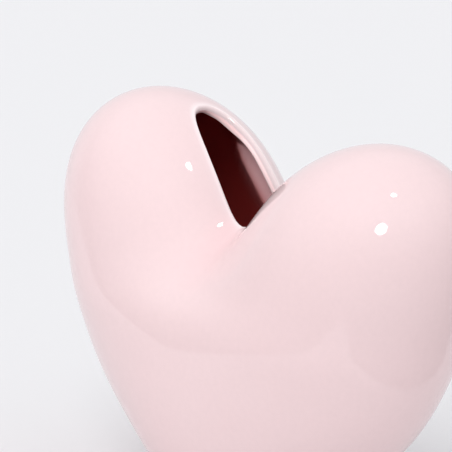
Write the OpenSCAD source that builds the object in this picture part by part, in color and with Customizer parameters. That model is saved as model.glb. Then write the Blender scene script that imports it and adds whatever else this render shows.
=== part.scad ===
// Puffed-heart vase in glazed stoneware, open along the cleft between its two lobes.
// Millimetres, +Z up.  X runs across the two lobes and Y through the thickness.
// The origin is the middle of the base, on the surface that the vase stands on.
//
// One smooth field gives the outside of the vase: two tilted lobes, an egg-shaped belly
// and a rounded tip, melted into each other.  Every wall and coat is the same net of
// rings, set back along the skin's own normals, so that the layers meet face to face.

/* [Lobes] */
// Distance of each lobe's centre from the middle
lobe_x = 53.7; // [52:0.1:56]
// Height of the lobes' centres above the uncut tip
lobe_z = 122.5; // [120:0.5:125]
// Half-length of a lobe along its tilted axis
lobe_long = 50.7; // [48:0.1:53]
// Half-width of a lobe across that axis, seen from the front
lobe_wide = 40.8; // [39:0.1:43]
// Half-thickness of a lobe, front to back
lobe_thick = 42; // [39:0.5:45]
// Outward tilt of a lobe's axis from upright
lobe_tilt = 48; // [44:1:52]
// Softness of the crease between the two lobes
cleft_soft = 5.8; // [4.5:0.1:9]

/* [Belly and tip] */
// Height of the widest level of the belly above the uncut tip
belly_z = 84; // [82:1:86]
// Half-width of the belly
belly_x = 87; // [84:1:90]
// Half-thickness of the belly
belly_y = 45.6; // [43:0.1:48]
// Rise of the belly above its widest level
belly_rise = 25.2; // [23:0.1:28]
// Fall of the belly below its widest level
belly_fall = 64; // [60:1:68]
// Height of the middle of the rounded tip
tip_z = 36; // [34:1:38]
// Half-width of the tip
tip_x = 34; // [31:1:37]
// Half-thickness of the tip
tip_y = 27; // [25:1:29]
// Half-height of the tip
tip_fall = 33; // [31:1:35]
// Height over which the egg changes from its lower half to its upper half
belly_ease = 8; // [6:1:12]
// Softness of the melt between lobes, belly and tip
body_soft = 15; // [12:1:17]
// Height at which the tip is cut off flat to stand on
base_cut = 12; // [9:1:15]

/* [Wall and opening] */
// Thickness of the wall with both coats of glaze
wall = 4.2; // [3.8:0.1:5]
// Thickness of each coat of glaze
glaze = 0.5; // [0.3:0.1:0.7]
// Half-length of the opening along the cleft
mouth_long = 43; // [40:1:45]
// Half-width of the opening across the cleft
mouth_wide = 16; // [14:1:17]
// How far the middle of the opening lies behind the middle of the vase
mouth_back = 3.1; // [1:0.1:4]
// Fullness of the opening's outline: 2 is a plain oval, more is boxier
mouth_full = 2.3; // [2:0.1:2.6]
// How far the rounded rim swells past the end of the wall
rim_swell = 1.4; // [0.8:0.1:2]

/* [Foot] */
// Width of the flat foot ring
foot_ring_w = 8; // [6:0.5:9]
// Depth of the recess inside the foot ring
recess_h = 2.5; // [1.5:0.5:4]
// Diameter of a felt foot pad
pad_d = 7; // [5:0.5:8]
// Thickness of a felt foot pad
pad_h = 1.5; // [1:0.5:3]

/* [Hidden] */

around = 40;          // points in each ring
up = 24;              // rows of the net between the foot and the rim
bare = 0.03;          // part of the way up that stays unglazed at the foot
rim_steps = 6;        // steps over the rim, half of them on the outer side
far = 150;            // further than the skin from any point inside
halvings = 24;        // steps of each root search
feel = 0.2;           // step used to measure the skin's slope
pads = 4;

foot_z = pad_h;                        // level of the foot ring
lift = foot_z - base_cut;              // brings the cut tip down to the foot ring
recess_z = foot_z + recess_h;
floor_z = recess_z + wall;             // level of the floor inside
heart = [0, 0, belly_z - 10 + lift];   // point inside from which the net is cast
mouth_a = mouth_long + rim_swell;
mouth_b = mouth_wide + rim_swell;

// ---- field of the outside ---------------------------------------------------

// Distance from a point to an ellipsoid about zero, below zero inside
function ball(p, r) =
    let (a = norm([p.x / r.x, p.y / r.y, p.z / r.z]),
         b = norm([p.x / pow(r.x, 2), p.y / pow(r.y, 2), p.z / pow(r.z, 2)]))
    a * (a - 1) / max(b, 0.000001);

function total(list) = [for (i = list) 1] * list;

// Smooth minimum of several distances, rounder as soft grows
function melt(list, soft) =
    let (least = min(list))
    least - soft * ln(total([for (d = list) exp((least - d) / soft)]));

// One lobe: an ellipsoid whose long axis leans out on its own side
function lobe(p, side) =
    let (c = cos(lobe_tilt),
         s = sin(lobe_tilt) * side,
         x = p.x - side * lobe_x,
         z = p.z - lobe_z)
    ball([x * c - z * s, p.y, x * s + z * c], [lobe_wide, lobe_thick, lobe_long]);

// The belly: an egg with a short upper half that eases into a long lower half
function belly(p) =
    let (z = p.z - belly_z,
         tall = belly_fall + (belly_rise - belly_fall) / (1 + exp(-z / belly_ease)))
    ball([p.x, p.y, z], [belly_x, belly_y, tall]);

function tip(p) = ball([p.x, p.y, p.z - tip_z], [tip_x, tip_y, tip_fall]);

// Field of the whole outside, below zero inside
function field(q) =
    let (p = [q.x, q.y, q.z - lift],
         lobes = melt([lobe(p, -1), lobe(p, 1)], cleft_soft))
    melt([lobes, belly(p), tip(p)], body_soft);

function unit(v) = v / norm(v);

// Outward normal of the skin
function slope(p) =
    unit([for (step = [[feel, 0, 0], [0, feel, 0], [0, 0, feel]]) field(p + step) - field(p - step)]);

// Distance from a point inside to the skin, along a direction
function reach(from, along, near = 0, out = far, left = halvings) =
    let (mid = (near + out) / 2)
    left == 0 ? mid :
    field(from + mid * along) < 0 ? reach(from, along, mid, out, left - 1)
                                  : reach(from, along, near, mid, left - 1);

function drop(from, along) = from + reach(from, along) * along;

// ---- net of rings on the skin, from the foot to the rim ---------------------

turns = [for (i = [0:around - 1]) 360 * i / around];
rows = concat([0], [for (j = [0:up - 1]) bare + (1 - bare) * j / (up - 1)]);
top = len(rows) - 1;

foot_line = [for (a = turns) drop([0, 0, foot_z], unit([tip_x * cos(a), tip_y * sin(a), 0]))];
rim_line = [for (a = turns)
    drop([mouth_a * full(cos(a)), mouth_back + mouth_b * full(sin(a)), heart.z], [0, 0, 1])];

function rise(v) = asin(unit(v).z);

function full(v) = sign(v) * pow(abs(v), 2 / mouth_full);

// Direction of the net at one turn, a part t of the way from the foot to the rim
function ray(i, t) =
    let (wide = (1 - t) * tip_x + 4 * t * (1 - t) * belly_x,
         deep = (1 - t) * tip_y + 4 * t * (1 - t) * belly_y,
         flat = unit([wide * cos(turns[i]) + t * rim_line[i].x,
                      deep * sin(turns[i]) + t * rim_line[i].y, 0]),
         tall = (1 - t) * rise(foot_line[i] - heart) + t * rise(rim_line[i] - heart))
    cos(tall) * flat + [0, 0, sin(tall)];

skin = [for (t = rows) [for (i = [0:around - 1])
    t == 0 ? foot_line[i] : t == 1 ? rim_line[i] : drop(heart, ray(i, t))]];
normals = [for (ring = skin) [for (p = ring) slope(p)]];

function level(v) = unit([v.x, v.y, 0]);

// Row j of the skin set back by d on the outside; the foot row stays level
function outside(j, d) =
    [for (i = [0:around - 1]) skin[j][i] - d * (j == 0 ? level(normals[j][i]) : normals[j][i])];

// Row j of the wall's inner face, d in from the skin, resting on the inside floor
function inside(j, d) =
    [for (i = [0:around - 1])
        let (p = skin[j][i] - d * normals[j][i])
        [p.x, p.y, max(p.z, floor_z - wall + d)]];

// Step k over the rim, set back by d: half an oval from the outer to the inner face
function over_rim(k, d) =
    [for (i = [0:around - 1])
        let (n = normals[top][i],
             rough = skin[top][i] - skin[top - 1][i],
             onward = unit(rough - (rough * n) * n),
             turn = 180 * k / rim_steps)
        skin[top][i] - wall / 2 * n
            + (wall / 2 - d) * cos(turn) * n + (rim_swell - d) * sin(turn) * onward];

// Foot outline drawn in by w, at height z
function foot_oval(w, z) =
    [for (p = skin[0]) let (flat = [p.x, p.y, 0]) flat - w * unit(flat) + [0, 0, z]];

first = 1;                 // lowest glazed row
crest = rim_steps / 2;     // step at the top of the rim, where the coats meet

// ---- solids from rings ------------------------------------------------------

function strip(a, b) =
    [for (i = [0:around - 1], half = [0, 1])
        let (n = (i + 1) % around)
        half == 0 ? [a + i, b + i, b + n] : [a + i, b + n, a + n]];

function fan(a, centre, over) =
    [for (i = [0:around - 1])
        let (n = (i + 1) % around)
        over ? [a + i, centre, a + n] : [a + n, centre, a + i]];

function flat_list(lists) = [for (list = lists) each list];

function middle(points) = total(points) / len(points);

// A skin of rings closed by a flat cap at each end
module capped(rings) {
    n = len(rings);
    points = concat(flat_list(rings), [middle(rings[0]), middle(rings[n - 1])]);
    faces = concat(
        flat_list([for (r = [0:n - 2]) strip(r * around, (r + 1) * around)]),
        fan(0, n * around, false),
        fan((n - 1) * around, n * around + 1, true));
    polyhedron(points, faces, convexity = 8);
}

// A skin of rings whose last ring joins the first
module looped(rings) {
    n = len(rings);
    faces = flat_list([for (r = [0:n - 1]) strip(r * around, ((r + 1) % n) * around)]);
    polyhedron(flat_list(rings), faces, convexity = 8);
}

// ---- sub-parts --------------------------------------------------------------

// Slip-cast hollow heart with a cut opening, a flat foot ring and a shallow recess
module clay_body() {
    color([0.93, 0.90, 0.86])
        capped(concat(
            [foot_oval(foot_ring_w, recess_z), foot_oval(foot_ring_w, foot_z)],
            [for (j = [0:top]) outside(j, glaze)],
            [for (k = [1:rim_steps - 1]) over_rim(k, glaze)],
            [for (j = [top:-1:0]) inside(j, wall - glaze)]));
}

// Pink gloss coat on the outside, from just above the foot to the crest of the rim
module outer_glaze() {
    color([0.96, 0.84, 0.84])
        looped(concat(
            [for (j = [first:top]) outside(j, 0)],
            [for (k = [1:crest]) over_rim(k, 0)],
            [for (k = [crest:-1:1]) over_rim(k, glaze)],
            [for (j = [top:-1:first]) outside(j, glaze)]));
}

// Poured coat inside, from the crest of the rim down over the floor
module inner_glaze() {
    color([0.70, 0.42, 0.44])
        capped(concat(
            [for (j = [0:top]) inside(j, wall - glaze)],
            [for (k = [rim_steps - 1:-1:crest]) over_rim(k, glaze)],
            [for (k = [crest:rim_steps - 1]) over_rim(k, 0)],
            [for (j = [top:-1:0]) inside(j, wall)]));
}

// Coat in the recess under the base, level all over
module base_glaze() {
    color([0.95, 0.82, 0.82])
        translate([0, 0, recess_z - glaze])
            linear_extrude(glaze)
                polygon([for (p = foot_oval(foot_ring_w, 0)) [p.x, p.y]]);
}

// Four self-adhesive felt pads spaced round the middle of the foot ring
module foot_pads() {
    color([0.90, 0.88, 0.85])
        for (q = [0:pads - 1]) {
            at = foot_oval(foot_ring_w / 2, 0)[around * (2 * q + 1) / (2 * pads)];
            translate(at) cylinder(d = pad_d, h = pad_h, $fn = 48);
        }
}

clay_body();
outer_glaze();
inner_glaze();
base_glaze();
foot_pads();
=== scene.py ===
import math

import bpy
import numpy as np
from mathutils import Matrix, Vector


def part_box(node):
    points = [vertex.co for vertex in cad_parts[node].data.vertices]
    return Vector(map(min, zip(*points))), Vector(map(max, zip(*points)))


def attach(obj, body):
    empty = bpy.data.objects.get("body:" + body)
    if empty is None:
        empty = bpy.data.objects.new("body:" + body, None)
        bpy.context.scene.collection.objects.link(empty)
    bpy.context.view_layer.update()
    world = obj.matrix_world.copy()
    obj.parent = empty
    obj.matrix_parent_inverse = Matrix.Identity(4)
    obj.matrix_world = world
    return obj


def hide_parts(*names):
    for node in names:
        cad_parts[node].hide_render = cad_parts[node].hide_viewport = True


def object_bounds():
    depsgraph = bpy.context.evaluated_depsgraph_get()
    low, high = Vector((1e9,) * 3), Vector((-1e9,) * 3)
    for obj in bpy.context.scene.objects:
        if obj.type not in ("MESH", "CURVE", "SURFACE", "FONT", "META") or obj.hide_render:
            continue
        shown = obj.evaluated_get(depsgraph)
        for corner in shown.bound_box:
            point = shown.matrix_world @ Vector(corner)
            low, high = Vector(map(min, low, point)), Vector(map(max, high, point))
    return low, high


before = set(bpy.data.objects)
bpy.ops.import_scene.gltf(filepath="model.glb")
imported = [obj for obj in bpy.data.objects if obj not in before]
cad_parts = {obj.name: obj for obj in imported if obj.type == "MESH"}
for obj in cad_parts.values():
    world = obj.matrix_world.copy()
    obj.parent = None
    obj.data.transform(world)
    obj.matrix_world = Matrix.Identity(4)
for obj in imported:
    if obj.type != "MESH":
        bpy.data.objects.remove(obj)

cad_low, cad_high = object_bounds()


# ---- Camera -----------------------------------------------------------------
# A long lens a pace and a half away, a little above the mouth, looking across one lobe
# into the cleft.  The framing is tight: it takes in the lobes and half of the belly.
seen_from = math.radians(45.7)        # round from the front of the vase, towards +X
seen_above = math.radians(13.2)
far_off = 1.4
aim = Vector((0, 0, 0.70 * cad_high.z))
aside, upward, lean = math.radians(-0.674), math.radians(0.086), math.radians(3.22)

towards_lens = Vector((math.sin(seen_from) * math.cos(seen_above),
                       -math.cos(seen_from) * math.cos(seen_above),
                       math.sin(seen_above)))
across = Vector((math.cos(seen_from), math.sin(seen_from), 0))
looking = (-towards_lens + math.tan(aside) * across
           + math.tan(upward) * across.cross(-towards_lens)).normalized()
level = looking.cross(Vector((0, 0, 1))).normalized()
right = level * math.cos(lean) + level.cross(looking) * math.sin(lean)
turned = Matrix((right, right.cross(looking), -looking)).transposed()

camera = bpy.data.objects.new("camera", bpy.data.cameras.new("camera"))
camera.data.sensor_width = 36
camera.data.lens = 281.5
camera.matrix_world = Matrix.Translation(aim + far_off * towards_lens) @ turned.to_4x4()
bpy.context.collection.objects.link(camera)
bpy.context.scene.camera = camera
bpy.context.scene.view_settings.view_transform = "Standard"


# ---- Clay body --------------------------------------------------------------
# Slip-cast stoneware: two tilted lobes melted into an egg-shaped belly and a rounded tip.
# The mouth is cut along the cleft and its edge sponged round; the bare foot ring shows clay.
lobe_at = np.array([0.0537, 0, 0.1225])      # centre of the right lobe above the uncut tip
lobe_half = np.array([0.0408, 0.042, 0.0507])
lobe_tilt = math.radians(48)
belly_at = 0.084
belly_half = (0.087, 0.0456)
belly_rise, belly_fall, belly_ease = 0.0252, 0.064, 0.008
tip_at = 0.036
tip_half = np.array([0.034, 0.027, 0.033])
cleft_soft, body_soft = 0.0058, 0.015
base_cut = 0.012
wall, glaze = 0.0042, 0.0005
mouth_long, mouth_wide, rim_swell = 0.043, 0.016, 0.0014
mouth_back, mouth_full = 0.0031, 2.3
foot_ring, recess = 0.008, 0.0025

foot_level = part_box("clay_body")[0].z        # the felt pads hold the foot ring this high
lift = foot_level - base_cut
floor_level = foot_level + recess + wall     # floor inside the vase
middle = np.array([0, 0, belly_at - 0.010 + lift])


def length(v):
    return np.sqrt((v * v).sum(-1, keepdims=True))


def unit(v):
    return v / np.maximum(length(v), 1e-12)


def ball(p, half):
    """Distance to an ellipsoid about zero, below zero inside it."""
    a, b = length(p / half)[..., 0], length(p / np.square(half))[..., 0]
    return a * (a - 1) / np.maximum(b, 1e-9)


def melt(parts, soft):
    """Smooth least of several distances, as wet clay rounds a crease."""
    parts = np.stack(parts)
    least = parts.min(0)
    return least - soft * np.log(np.exp((least - parts) / soft).sum(0))


def lobe(p, side):
    c, s = math.cos(lobe_tilt), math.sin(lobe_tilt) * side
    x, z = p[..., 0] - side * lobe_at[0], p[..., 2] - lobe_at[2]
    return ball(np.stack([x * c - z * s, p[..., 1], x * s + z * c], -1), lobe_half)


def belly(p):
    z = p[..., 2] - belly_at
    tall = belly_fall + (belly_rise - belly_fall) / (1 + np.exp(-z / belly_ease))
    half = np.stack([np.full_like(z, belly_half[0]), np.full_like(z, belly_half[1]), tall], -1)
    return ball(np.stack([p[..., 0], p[..., 1], z], -1), half)


def heart(q):
    """Field of the whole outside, below zero inside."""
    p = q - np.array([0, 0, lift])
    lobes = melt([lobe(p, -1), lobe(p, 1)], cleft_soft)
    return melt([lobes, belly(p), ball(p - np.array([0, 0, tip_at]), tip_half)], body_soft)


def facing(p, feel=0.0002):
    """Outward normal of the skin at each point."""
    steps = np.eye(3) * feel
    return unit(np.stack([heart(p + s) - heart(p - s) for s in steps], -1))


def drop(start, along):
    """From a point inside to the skin, along each direction."""
    near, out = np.zeros(along.shape[:-1] + (1,)), np.full(along.shape[:-1] + (1,), 0.15)
    for _ in range(30):
        half_way = (near + out) / 2
        inside = (heart(start + half_way * along) < 0)[..., None]
        near, out = np.where(inside, half_way, near), np.where(inside, out, half_way)
    return start + (near + out) / 2 * along


around = 200                                  # points in each ring
bare = 0.03                                   # part of the way up that stays unglazed
turns = 2 * math.pi * np.arange(around) / around
circle = np.stack([np.cos(turns), np.sin(turns), 0 * turns], -1)
roll_rows = bare + 0.004 * (1 - np.cos(np.radians([0, 30, 60, 90])))
rows = np.concatenate([[0.004, 0.01, 0.018], roll_rows, np.linspace(0.042, 1, 116)])

foot_line = drop(np.array([0, 0, foot_level]), unit(circle * [tip_half[0], tip_half[1], 0]))
mouth_line = np.sign(circle) * np.abs(circle) ** (2 / mouth_full)
mouth_line = mouth_line * [mouth_long + rim_swell, mouth_wide + rim_swell, 0] + [0, mouth_back, 0]
rim_line = drop(mouth_line + [0, 0, middle[2]], np.array([0, 0, 1.0]) + 0 * circle)


def ways(t):
    """Directions from the middle to the skin, a part t of the way from foot to rim."""
    wide = (1 - t) * tip_half[0] + 4 * t * (1 - t) * belly_half[0]
    deep = (1 - t) * tip_half[1] + 4 * t * (1 - t) * belly_half[1]
    flat = unit(circle * [wide, deep, 0] + t * mouth_line)
    low, high = [np.arcsin(unit(line - middle)[:, 2]) for line in (foot_line, rim_line)]
    tall = ((1 - t) * low + t * high)[:, None]
    return np.cos(tall) * flat + np.sin(tall) * np.array([0, 0, 1.0])


skin = drop(middle, np.stack([ways(t) for t in rows]))
skin[-1] = rim_line
skin_facing = facing(skin)

# The sponge leaves the mouth's inner edge a little uneven; this fades down the wall.
below_rim = length(np.diff(skin[::-1], axis=0, prepend=skin[-1:]))[..., 0].cumsum(0)[::-1]
uneven = (0.00035 * np.sin(3 * turns + 0.6) + 0.00025 * np.sin(7 * turns + 2.0)
          + 0.00015 * np.sin(13 * turns + 1.1))
wall_here = (wall + uneven * np.exp(-below_rim / 0.012))[..., None]


def outside(d):
    """Every row of the skin, set back by d."""
    return skin - d * skin_facing


def inside(d, pool=0.003):
    """Rows of the wall's inner face, short of it by d, from the rim down to the floor."""
    rings = (skin - (wall_here - d) * skin_facing)[::-1].copy()
    level_here = floor_level - d
    rise = (rings[..., 2] - level_here) / pool
    rings[..., 2] = level_here + pool * np.logaddexp(0, rise)
    return rings


def over_rim(d, steps=24):
    """Rings over the rim, half an oval from the outer face to the inner one."""
    n = skin_facing[-1]
    rough = skin[-1] - skin[-2]
    onward = unit(rough - (rough * n).sum(-1, keepdims=True) * n)
    half = wall_here[-1] / 2
    return np.stack([skin[-1] - half * n + (half - d) * math.cos(a) * n
                     + (rim_swell - d) * math.sin(a) * onward
                     for a in np.linspace(0, math.pi, steps + 1)[1:-1]])


def disc(ring, steps=14):
    """Rings from near the middle of a flat or pooled face out to its edge ring."""
    centre = ring.mean(0)
    return np.stack([centre + (ring - centre) * k / steps for k in range(1, steps)])


def foot_oval(w, z):
    flat = skin[0] * [1, 1, 0]
    return flat - w * unit(flat) + [0, 0, z]


def grid_facing(rings):
    """Normals of a net of rings, from its neighbours both ways."""
    return unit(np.cross(np.roll(rings, -1, 1) - np.roll(rings, 1, 1), np.gradient(rings, axis=0)))


def ring_mesh(name, rings, facings=None, middles=(False, False), looped=False, hard=()):
    """A closed mesh from rings.  Hard strips of it keep their own flat faces."""
    count = len(rings)
    points = list(rings.reshape(-1, 3))
    faces, corners = [], []
    i = np.arange(around)
    j = (i + 1) % around
    for r in range(count if looped else count - 1):
        s = (r + 1) % count
        faces += np.stack([r * around + i, r * around + j, s * around + j, s * around + i], 1).tolist()
        if facings is not None:
            a, b = facings[r], facings[s]
            if r in hard:
                a = b = unit(np.cross(rings[r][j] - rings[r], rings[s] - rings[r]))
                corners += [n for quad in zip(a, a, a, a) for n in quad]
            else:
                corners += [n for quad in zip(a[i], a[j], b[j], b[i]) for n in quad]
    for end, ring_at in ((0, 0), (1, count - 1)):
        if not middles[end]:
            continue
        points.append(rings[ring_at].mean(0))
        tip, base = len(points) - 1, ring_at * around
        fan = [base + i, base + j] if end else [base + j, base + i]
        faces += np.stack([*fan, np.full(around, tip)], 1).tolist()
        if facings is not None:
            out = facings[ring_at].mean(0)
            corners += [out] * (3 * around)
    mesh = bpy.data.meshes.new(name)
    mesh.from_pydata(points, [], faces)
    mesh.shade_smooth()
    if facings is not None:
        mesh.normals_split_custom_set(np.array(corners).tolist())
    piece = bpy.data.objects.new(name, mesh)
    bpy.context.collection.objects.link(piece)
    return piece


def mark(piece, name, values):
    """Keeps one number for each point, for the material to read."""
    spread = np.zeros(len(piece.data.vertices))
    spread[:len(values)] = values
    piece.data.attributes.new(name, "FLOAT", "POINT").data.foreach_set("value", spread)


recess_level = foot_level + recess
soft_edge = 0.0008
ring_inner = foot_oval(foot_ring, recess_level)
foot_rings = [ring_inner,
              foot_oval(foot_ring, foot_level + soft_edge),
              foot_oval(foot_ring - 0.3 * soft_edge, foot_level + 0.3 * soft_edge),
              foot_oval(foot_ring - soft_edge, foot_level),
              foot_oval(foot_ring / 2, foot_level),
              foot_oval(1.2 * soft_edge, foot_level),
              foot_oval(0.35 * soft_edge, foot_level + 0.15 * soft_edge)]
clay_rings = np.concatenate([disc(ring_inner), np.stack(foot_rings), outside(glaze),
                             over_rim(glaze), inside(glaze), disc(inside(glaze)[-1])[::-1]])
clay_body = ring_mesh("clay_body_cast", clay_rings, middles=(True, True))
clay_body.data.set_sharp_from_angle(angle=math.radians(40))


def node(tree, kind, **values):
    """A shader node with its plain values set."""
    made = tree.nodes.new("ShaderNode" + kind)
    for name, value in values.items():
        made.inputs[name.replace("_", " ")].default_value = value
    return made


def new_material(name, **finish):
    material = bpy.data.materials.new(name)
    material.use_nodes = True
    shader = material.node_tree.nodes["Principled BSDF"]
    for key, value in finish.items():
        shader.inputs[key.replace("_", " ")].default_value = value
    return material, material.node_tree, shader


def new_group(name, takes, gives):
    """A shader node group with named float, colour or vector sockets."""
    tree = bpy.data.node_groups.new(name, "ShaderNodeTree")
    for way, sockets in (("INPUT", takes), ("OUTPUT", gives)):
        for label, kind in sockets:
            tree.interface.new_socket(label, in_out=way, socket_type="NodeSocket" + kind)
    return tree, tree.nodes.new("NodeGroupInput"), tree.nodes.new("NodeGroupOutput")


def place(tree, group, **values):
    made = tree.nodes.new("ShaderNodeGroup")
    made.node_tree = group
    for name, value in values.items():
        made.inputs[name.replace("_", " ")].default_value = value
    return made


def blend_colour(tree, how="MIX"):
    made = tree.nodes.new("ShaderNodeMix")
    made.data_type, made.blend_type = "RGBA", how
    return made


# Fired Tone: a kiln never fires a colour quite even.  Slow drift, with finer flecks in it.
fired_tone, tone_in, tone_out = new_group(
    "Fired Tone",
    [("Colour", "Color"), ("Drift Colour", "Color"), ("Drift Size", "Float"),
     ("Drift", "Float"), ("Fleck Size", "Float"), ("Fleck", "Float")],
    [("Colour", "Color")])
place_at = fired_tone.nodes.new("ShaderNodeTexCoord")
drift = node(fired_tone, "TexNoise", Detail=2.0, Roughness=0.5)
fleck = node(fired_tone, "TexNoise", Detail=4.0, Roughness=0.65)
drift_much = fired_tone.nodes.new("ShaderNodeMath")
drift_much.operation = "MULTIPLY"
drifted = blend_colour(fired_tone)
fleck_range = node(fired_tone, "MapRange")
fleck_range.inputs["From Min"].default_value = 0.30
fleck_range.inputs["From Max"].default_value = 0.70
fleck_low = fired_tone.nodes.new("ShaderNodeMath")
fleck_low.operation = "SUBTRACT"
fleck_low.inputs[0].default_value = 1.0
fleck_high = fired_tone.nodes.new("ShaderNodeMath")
fleck_high.operation = "ADD"
fleck_high.inputs[0].default_value = 1.0
flecked = blend_colour(fired_tone, "MULTIPLY")
flecked.inputs["Factor"].default_value = 1.0
for a, b in ((place_at.outputs["Object"], drift.inputs["Vector"]),
             (tone_in.outputs["Drift Size"], drift.inputs["Scale"]),
             (place_at.outputs["Object"], fleck.inputs["Vector"]),
             (tone_in.outputs["Fleck Size"], fleck.inputs["Scale"]),
             (drift.outputs["Fac"], drift_much.inputs[0]),
             (tone_in.outputs["Drift"], drift_much.inputs[1]),
             (drift_much.outputs[0], drifted.inputs["Factor"]),
             (tone_in.outputs["Colour"], drifted.inputs["A"]),
             (tone_in.outputs["Drift Colour"], drifted.inputs["B"]),
             (fleck.outputs["Fac"], fleck_range.inputs["Value"]),
             (tone_in.outputs["Fleck"], fleck_low.inputs[1]),
             (tone_in.outputs["Fleck"], fleck_high.inputs[1]),
             (fleck_low.outputs[0], fleck_range.inputs["To Min"]),
             (fleck_high.outputs[0], fleck_range.inputs["To Max"]),
             (drifted.outputs["Result"], flecked.inputs["A"]),
             (fleck_range.outputs["Result"], flecked.inputs["B"]),
             (flecked.outputs["Result"], tone_out.inputs["Colour"])):
    fired_tone.links.new(a, b)

# Bare fired clay: warm off-white, dry, with grit and fine pits.
clay, tree, shader = new_material("bare_stoneware", Roughness=0.85)
tone = place(tree, fired_tone, Colour=(0.70, 0.62, 0.53, 1), Drift_Colour=(0.60, 0.50, 0.41, 1),
             Drift_Size=60.0, Drift=0.8, Fleck_Size=900.0, Fleck=0.10)
grit = node(tree, "TexNoise", Scale=1400.0, Detail=6.0, Roughness=0.7)
grit_at = tree.nodes.new("ShaderNodeTexCoord")
grit_bump = node(tree, "Bump", Strength=0.5, Distance=0.00025)
tree.links.new(grit_at.outputs["Object"], grit.inputs["Vector"])
tree.links.new(grit.outputs["Fac"], grit_bump.inputs["Height"])
tree.links.new(tone.outputs["Colour"], shader.inputs["Base Color"])
tree.links.new(grit_bump.outputs["Normal"], shader.inputs["Normal"])
clay_body.data.materials.append(clay)

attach(clay_body, "root")
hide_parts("clay_body")


# ---- Outside glaze ----------------------------------------------------------
# A dipped pink gloss coat, half a millimetre thick and fused to the clay.  It ends in a fine roll just
# above the foot, pools in the cleft and thins on the rounded rim, where it is also painted paler as
# painted light.
rim_out, rim_in = over_rim(0), over_rim(glaze)
crest = len(rim_out) // 2
first = 3                                     # lowest glazed row
whole = np.concatenate([outside(0), rim_out, inside(0)])
whole_facing = grid_facing(whole)
back = np.concatenate([outside(glaze), rim_in, inside(glaze)])
back_facing = grid_facing(back)

top = len(rows) + crest                       # ring at the crest of the rim
roll_set_back = glaze * np.array([1, 0.42, 0.06, -0.16, -0.12, -0.04])
front_rings = whole[first:top + 1].copy()
for k, d in enumerate(roll_set_back):
    front_rings[k] = skin[first + k] - d * skin_facing[first + k]
front_facing = grid_facing(np.concatenate([front_rings, whole[top + 1:top + 2]]))[:-1]
back_rings = back[first + 1:top + 1][::-1]
outer_glaze = ring_mesh(
    "outside_glaze_coat", np.concatenate([front_rings, back_rings]),
    np.concatenate([front_facing, -back_facing[first + 1:top + 1][::-1]]),
    looped=True, hard=(len(front_rings) - 1, len(front_rings) + len(back_rings) - 1))

# Where glaze pools (hollow places) and where it runs thinner (tight edges); the rim is also painted
# paler there as painted light.
nudge = np.eye(3) * 0.002
bend = sum(heart(skin + s) + heart(skin - s) - 2 * heart(skin) for s in nudge) / 0.002 ** 2
tightest = 60                                 # bend, per metre, at which the glaze is fullest
hollow = np.clip(-bend / tightest, 0, 1)[first:]
hollow_all = np.concatenate([hollow, np.repeat(hollow[-1:], crest + 1, 0)])
edge = np.sin(np.linspace(0, math.pi, len(rim_out) + 2))
thin_and_lit_out = np.concatenate([np.exp(-below_rim[first:] / 0.0012),
                           np.repeat(1 - 0.45 * edge[1:crest + 2, None], around, 1)])
back_blank = np.zeros(back_rings.shape[:2])
mark(outer_glaze, "pooled_and_lit_strip", np.concatenate([hollow_all, back_blank]).ravel())
mark(outer_glaze, "thin_and_lit_rim", np.concatenate([thin_and_lit_out, back_blank]).ravel())

# Glaze Skin: the fired surface is not optically flat.  It has a slow swell from the dip and
# a fine orange peel.
glaze_skin, skin_in, skin_out = new_group(
    "Glaze Skin",
    [("Swell Size", "Float"), ("Swell", "Float"), ("Peel Size", "Float"), ("Peel", "Float")],
    [("Height", "Float"), ("Gloss Mask", "Float")])
skin_at = glaze_skin.nodes.new("ShaderNodeTexCoord")
swell = node(glaze_skin, "TexNoise", Detail=1.0, Roughness=0.4)
peel = node(glaze_skin, "TexNoise", Detail=2.0, Roughness=0.5)
swell_much = glaze_skin.nodes.new("ShaderNodeMath")
swell_much.operation = "MULTIPLY"
peel_much = glaze_skin.nodes.new("ShaderNodeMath")
peel_much.operation = "MULTIPLY"
height = glaze_skin.nodes.new("ShaderNodeMath")
height.operation = "ADD"
for a, b in ((skin_at.outputs["Object"], swell.inputs["Vector"]),
             (skin_in.outputs["Swell Size"], swell.inputs["Scale"]),
             (skin_at.outputs["Object"], peel.inputs["Vector"]),
             (skin_in.outputs["Peel Size"], peel.inputs["Scale"]),
             (swell.outputs["Fac"], swell_much.inputs[0]),
             (skin_in.outputs["Swell"], swell_much.inputs[1]),
             (peel.outputs["Fac"], peel_much.inputs[0]),
             (skin_in.outputs["Peel"], peel_much.inputs[1]),
             (swell_much.outputs[0], height.inputs[0]),
             (peel_much.outputs[0], height.inputs[1]),
             (height.outputs[0], skin_out.inputs["Height"]),
             (swell.outputs["Fac"], skin_out.inputs["Gloss Mask"])):
    glaze_skin.links.new(a, b)


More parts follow.
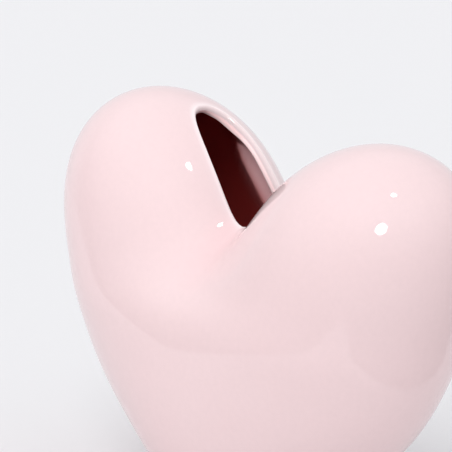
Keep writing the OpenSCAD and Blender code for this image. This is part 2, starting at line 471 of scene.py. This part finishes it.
def glazed(name, colour, drift_colour, pool_and_lit_strip_colour, thin_and_lit_colour, pool_and_lit_strip=1.0, thin_and_lit=1.0):
    """A gloss glaze with two marks: one deepens the colour where glaze pools in hollows and also
    carries the painted lit strip inside; the other pales the colour where glaze runs thinner, partly
    as painted light on the rim.
    """
    material, tree, shader = new_material(name, IOR=1.5)
    tone = place(tree, fired_tone, Colour=colour, Drift_Colour=drift_colour,
                 Drift_Size=18.0, Drift=0.9, Fleck_Size=420.0, Fleck=0.012)
    link = tree.links.new
    below = tone.outputs["Colour"]
    for label, much, tint in (("pooled_and_lit_strip", pool_and_lit_strip, pool_and_lit_strip_colour), ("thin_and_lit_rim", thin_and_lit, thin_and_lit_colour)):
        reader = tree.nodes.new("ShaderNodeAttribute")
        reader.attribute_name = label
        share = tree.nodes.new("ShaderNodeMath")
        share.operation = "MULTIPLY"
        share.inputs[1].default_value = much
        over = blend_colour(tree)
        over.inputs["B"].default_value = tint
        link(reader.outputs["Fac"], share.inputs[0])
        link(share.outputs[0], over.inputs["Factor"])
        link(below, over.inputs["A"])
        below = over.outputs["Result"]
    link(below, shader.inputs["Base Color"])
    surface = place(tree, glaze_skin, Swell_Size=26.0, Swell=1.0, Peel_Size=520.0, Peel=0.012)
    bump = node(tree, "Bump", Strength=0.25, Distance=0.0006)
    gloss = node(tree, "MapRange")
    gloss.inputs["To Min"].default_value = 0.035
    gloss.inputs["To Max"].default_value = 0.075
    link(surface.outputs["Height"], bump.inputs["Height"])
    link(surface.outputs["Gloss Mask"], gloss.inputs["Value"])
    link(gloss.outputs["Result"], shader.inputs["Roughness"])
    link(bump.outputs["Normal"], shader.inputs["Normal"])
    return material


# The pale rim colour is partly painted light: glaze pales where it runs thinner, and the colour is
# raised further to brighten the rim band.
pink = glazed("pink_gloss_glaze", colour=(0.795, 0.606, 0.612, 1),
              drift_colour=(0.805, 0.628, 0.634, 1), pool_and_lit_strip_colour=(0.82, 0.50, 0.52, 1),
              thin_and_lit_colour=(0.95, 0.84, 0.84, 1), pool_and_lit_strip=0.3, thin_and_lit=0.7)
outer_glaze.data.materials.append(pink)

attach(outer_glaze, "root")
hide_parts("outer_glaze")


# ---- Inside glaze -----------------------------------------------------------
# A coat poured in and drained out, painted deep wine red as painted shade for the dark hollow inside.
# The outside's pink comes over the rim onto the wall as a painted lit strip along the back of the
# mouth, where the lamp through the mouth falls.  It pools level on the floor inside.
front_down = whole[top:]
back_up = back[top:][::-1]
floor_front = disc(front_down[-1])[::-1]
floor_back = disc(back_up[0])
inside_rings = np.concatenate([floor_back, back_up, front_down, floor_front])
flat_up = np.zeros_like(floor_front) + [0, 0, 1.0]
flat_down = np.zeros_like(floor_back) - [0, 0, 1.0]
inner_glaze = ring_mesh(
    "inside_glaze_coat", inside_rings,
    np.concatenate([flat_down, -back_facing[top:][::-1], whole_facing[top:], flat_up]),
    middles=(True, True), hard=(len(floor_back) + len(back_up) - 1,))

# How far down the wall each ring lies, and how far the painted lit strip of pink reaches down at each
# turn: a finger deep along the back of the mouth, where the lamp through the mouth falls, a hair's
# breadth elsewhere.  Its soft lower edge is a painted shadow edge.
down = length(np.diff(front_down, axis=0, prepend=front_down[:1]))[..., 0].cumsum(0)
lit_strip_least, lit_strip_deep, lit_strip_blur = 0.0004, 0.044, 0.0025
lit_strip_half, lit_strip_corner = 0.68, 0.035            # radians either side of the back of the mouth
from_back = np.abs(turns - math.pi / 2)
lit_strip_reach = lit_strip_least + lit_strip_deep / (1 + np.exp((from_back - lit_strip_half) / lit_strip_corner))
lit_strip = 1 / (1 + np.exp((down - lit_strip_reach) / lit_strip_blur))
blank_back = np.zeros((len(floor_back) + len(back_up), around))
blank_floor = np.zeros(floor_front.shape[:2])
# The inner half of the rim is painted pale too, partly as painted light.
thin_and_lit_in = np.zeros_like(lit_strip)
thin_and_lit_in[:crest + 1] = 1 - 0.45 * edge[crest + 1:2 * crest + 2, None]
# Inside, the pooled-glaze mark carries the painted lit strip: pink where light falls through the
# mouth, over the painted shade.
mark(inner_glaze, "pooled_and_lit_strip", np.concatenate([blank_back, lit_strip, blank_floor]).ravel())
mark(inner_glaze, "thin_and_lit_rim", np.concatenate([blank_back, thin_and_lit_in, blank_floor]).ravel())

# The wine red is painted shade: it stands for the dark of the deep hollow inside.  The pink strip and
# pale rim over it are painted light.
inside_painted_shade = glazed("inside_glaze_painted_shade", colour=(0.38, 0.040, 0.037, 1),
              drift_colour=(0.41, 0.046, 0.042, 1), pool_and_lit_strip_colour=(0.84, 0.50, 0.52, 1),
              thin_and_lit_colour=(0.80, 0.67, 0.67, 1), pool_and_lit_strip=1.0, thin_and_lit=1.0)
inner_glaze.data.materials.append(inside_painted_shade)

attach(inner_glaze, "root")
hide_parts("inner_glaze")


# ---- Underside glaze --------------------------------------------------------
# The recess inside the foot ring is brushed with the same pink, wiped level and held off
# the kiln shelf by the ring.  Its edge is a thin rounded meniscus.
coat_low = recess_level - glaze
edge_w = foot_ring + 0.0001
under_rings = np.concatenate([
    disc(foot_oval(edge_w + 0.0006, coat_low)),
    np.stack([foot_oval(edge_w + 0.0006, coat_low), foot_oval(edge_w + 0.0002, coat_low + 0.00003),
              foot_oval(edge_w, coat_low - 0.0001), foot_oval(edge_w, recess_level)]),
    disc(foot_oval(edge_w, recess_level))[::-1]])
base_glaze = ring_mesh("underside_glaze_coat", under_rings, middles=(True, True))
base_glaze.data.set_sharp_from_angle(angle=math.radians(50))
mark(base_glaze, "pooled_and_lit_strip", np.zeros(1))
mark(base_glaze, "thin_and_lit_rim", np.zeros(1))
base_glaze.data.materials.append(pink)

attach(base_glaze, "root")
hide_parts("base_glaze")


# ---- Felt pads --------------------------------------------------------------
# Four punched discs of pressed wool felt, stuck under the foot ring so that the vase does
# not scratch a table.  The cut edge is soft and slightly crushed.
pad_low, pad_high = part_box("foot_pads")
pad_r, pad_h = 0.0035, pad_high.z - pad_low.z
pad_sides = 48
pads = 4

felt, tree, shader = new_material("wool_felt", Roughness=0.95, Sheen_Weight=0.3)
tone = place(tree, fired_tone, Colour=(0.66, 0.62, 0.56, 1), Drift_Colour=(0.56, 0.52, 0.46, 1),
             Drift_Size=220.0, Drift=0.8, Fleck_Size=2600.0, Fleck=0.18)
fibre = node(tree, "TexNoise", Scale=1900.0, Detail=5.0, Roughness=0.75, Distortion=1.6)
fibre_at = tree.nodes.new("ShaderNodeTexCoord")
fibre_bump = node(tree, "Bump", Strength=0.7, Distance=0.0002)
tree.links.new(fibre_at.outputs["Object"], fibre.inputs["Vector"])
tree.links.new(fibre.outputs["Fac"], fibre_bump.inputs["Height"])
tree.links.new(tone.outputs["Colour"], shader.inputs["Base Color"])
tree.links.new(fibre_bump.outputs["Normal"], shader.inputs["Normal"])

pad_turns = 2 * math.pi * np.arange(pad_sides) / pad_sides
profile = [(0.2, 0), (0.5, 0), (0.8, 0), (0.93, 0), (0.985, 0.05), (1.0, 0.16), (0.99, 0.5),
           (1.0, 0.84), (0.985, 0.95), (0.93, 1), (0.8, 1), (0.5, 1), (0.2, 1)]
for q in range(pads):
    at = foot_oval(foot_ring / 2, 0)[around * (2 * q + 1) // (2 * pads)]
    points = [(at[0] + pad_r * w * math.cos(a), at[1] + pad_r * w * math.sin(a), pad_low.z + pad_h * h)
              for w, h in profile for a in pad_turns]
    faces = [[r * pad_sides + i, r * pad_sides + (i + 1) % pad_sides,
              (r + 1) * pad_sides + (i + 1) % pad_sides, (r + 1) * pad_sides + i]
             for r in range(len(profile) - 1) for i in range(pad_sides)]
    last = (len(profile) - 1) * pad_sides
    faces += [list(range(pad_sides))[::-1], list(range(last, last + pad_sides))]
    mesh = bpy.data.meshes.new(f"felt_pad_{q + 1}")
    mesh.from_pydata(points, [], faces)
    mesh.shade_smooth()
    mesh.set_sharp_from_angle(angle=math.radians(60))
    mesh.materials.append(felt)
    pad = bpy.data.objects.new(f"felt_pad_{q + 1}", mesh)
    bpy.context.collection.objects.link(pad)
    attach(pad, "root")
    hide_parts("foot_pads")


# ---- Table and light --------------------------------------------------------
# A plain pale table.  The part near the vase is what its gloss mirrors; beyond that the
# gloss mirrors the room instead, which draws the soft line low on the belly.  The room is
# dim in front, brighter overhead, and has a pale wall on the side away from the camera.
pale = (0.879, 0.879, 0.896)
table_paint, tree, shader = new_material("pale_table", Roughness=0.9, Specular_IOR_Level=0.1)
tone = place(tree, fired_tone, Colour=(0.765, 0.760, 0.770, 1), Drift_Colour=(0.765, 0.760, 0.770, 1),
             Drift_Size=3.0, Drift=0.3, Fleck_Size=300.0, Fleck=0.003)
tree.links.new(tone.outputs["Colour"], shader.inputs["Base Color"])

near_x, near_y = (-0.80, 0.15), (-0.185, 0.9)
reach = 12.0


def flat_sheet(name, corners_of):
    mesh = bpy.data.meshes.new(name)
    points = [(x, y, 0) for quad in corners_of for x, y in quad]
    mesh.from_pydata(points, [], [[4 * k + i for i in range(4)] for k in range(len(corners_of))])
    sheet = bpy.data.objects.new(name, mesh)
    sheet.data.materials.append(table_paint)
    bpy.context.collection.objects.link(sheet)
    return sheet


(x0, x1), (y0, y1) = near_x, near_y
flat_sheet("table_near", [[(x0, y0), (x1, y0), (x1, y1), (x0, y1)]])
table_far = flat_sheet("table_far", [
    [(-reach, -reach), (reach, -reach), (reach, y0), (-reach, y0)],
    [(-reach, y1), (reach, y1), (reach, reach), (-reach, reach)],
    [(-reach, y0), (x0, y0), (x0, y1), (-reach, y1)],
    [(x1, y0), (reach, y0), (reach, y1), (x1, y1)]])
table_far.visible_glossy = False

room = bpy.data.worlds.new("pale_room")
room.use_nodes = True
tree = room.node_tree
tree.nodes.clear()
link = tree.links.new
rays = tree.nodes.new("ShaderNodeLightPath")
seen = node(tree, "Background", Color=(*pale, 1))
lights_it = node(tree, "Background", Color=(0.97, 0.98, 1.0, 1), Strength=0.88)
mirrored = node(tree, "Background", Color=(0.96, 0.97, 1.0, 1))
towards = tree.nodes.new("ShaderNodeTexCoord")
split = tree.nodes.new("ShaderNodeSeparateXYZ")
brighter_up = node(tree, "MapRange")
brighter_up.inputs["From Min"].default_value = 0.0
brighter_up.inputs["From Max"].default_value = 0.7
brighter_up.inputs["To Min"].default_value = 0.20
brighter_up.inputs["To Max"].default_value = 1.10
to_wall = tree.nodes.new("ShaderNodeVectorMath")
to_wall.operation = "DOT_PRODUCT"
to_wall.inputs[1].default_value = (-math.sin(seen_from), math.cos(seen_from), 0)
pale_wall = node(tree, "MapRange")
pale_wall.inputs["From Min"].default_value = 0.1
pale_wall.inputs["From Max"].default_value = 0.7
pale_wall.inputs["To Max"].default_value = 0.85
brighter = tree.nodes.new("ShaderNodeMath")
brighter.operation = "MAXIMUM"
first_mix = tree.nodes.new("ShaderNodeMixShader")
second_mix = tree.nodes.new("ShaderNodeMixShader")
world_out = tree.nodes.new("ShaderNodeOutputWorld")
link(towards.outputs["Generated"], split.inputs["Vector"])
link(split.outputs["Z"], brighter_up.inputs["Value"])
link(towards.outputs["Generated"], to_wall.inputs[0])
link(to_wall.outputs["Value"], pale_wall.inputs["Value"])
link(brighter_up.outputs["Result"], brighter.inputs[0])
link(pale_wall.outputs["Result"], brighter.inputs[1])
link(brighter.outputs[0], mirrored.inputs["Strength"])
link(rays.outputs["Is Glossy Ray"], first_mix.inputs["Fac"])
link(lights_it.outputs[0], first_mix.inputs[1])
link(mirrored.outputs[0], first_mix.inputs[2])
link(rays.outputs["Is Camera Ray"], second_mix.inputs["Fac"])
link(first_mix.outputs[0], second_mix.inputs[1])
link(seen.outputs[0], second_mix.inputs[2])
link(second_mix.outputs[0], world_out.inputs["Surface"])
bpy.context.scene.world = room


def light_way(azimuth, elevation):
    a, e = math.radians(azimuth), math.radians(elevation)
    return Vector((math.sin(a) * math.cos(e), -math.cos(a) * math.cos(e), math.sin(e)))


def hang(name, kind, azimuth, elevation, off, energy):
    lamp = bpy.data.objects.new(name, bpy.data.lights.new(name, kind))
    lamp.data.energy = energy
    way = light_way(azimuth, elevation)
    lamp.location = aim + off * way
    lamp.rotation_mode = "QUATERNION"
    lamp.rotation_quaternion = way.to_track_quat("Z", "Y")
    bpy.context.collection.objects.link(lamp)
    return lamp


soft_key = hang("soft_key", "SUN", 20, 45, 2.0, 1.3)
soft_key.data.angle = math.radians(40)
soft_key.visible_glossy = False
for name, azimuth, elevation, size, energy in (("lamp_right", 45.0, 29.8, 0.26, 10.0),
                                               ("lamp_high", 64.0, 67.0, 0.12, 2.2)):
    lamp = hang(name, "AREA", azimuth, elevation, 1.5, energy)
    lamp.visible_diffuse = False
    lamp.data.shape = "DISK"
    lamp.data.size = size

# A snooted lamp shines in through the mouth and lights the wall at the back of one lobe.
# It lights the inside glaze alone.
lobe_wall = Vector((-0.040, 0.030, 0.128))
through_mouth = hang("through_mouth", "SPOT", 20, 30, 1.5, 125.0)
through_mouth.location += lobe_wall - aim
through_mouth.data.spot_size = math.radians(2.4)
through_mouth.data.spot_blend = 1.0
through_mouth.data.shadow_soft_size = 0.03
through_mouth.visible_glossy = False
only_inside = bpy.data.collections.new("lit_through_the_mouth")
only_inside.objects.link(inner_glaze)
through_mouth.light_linking.receiver_collection = only_inside
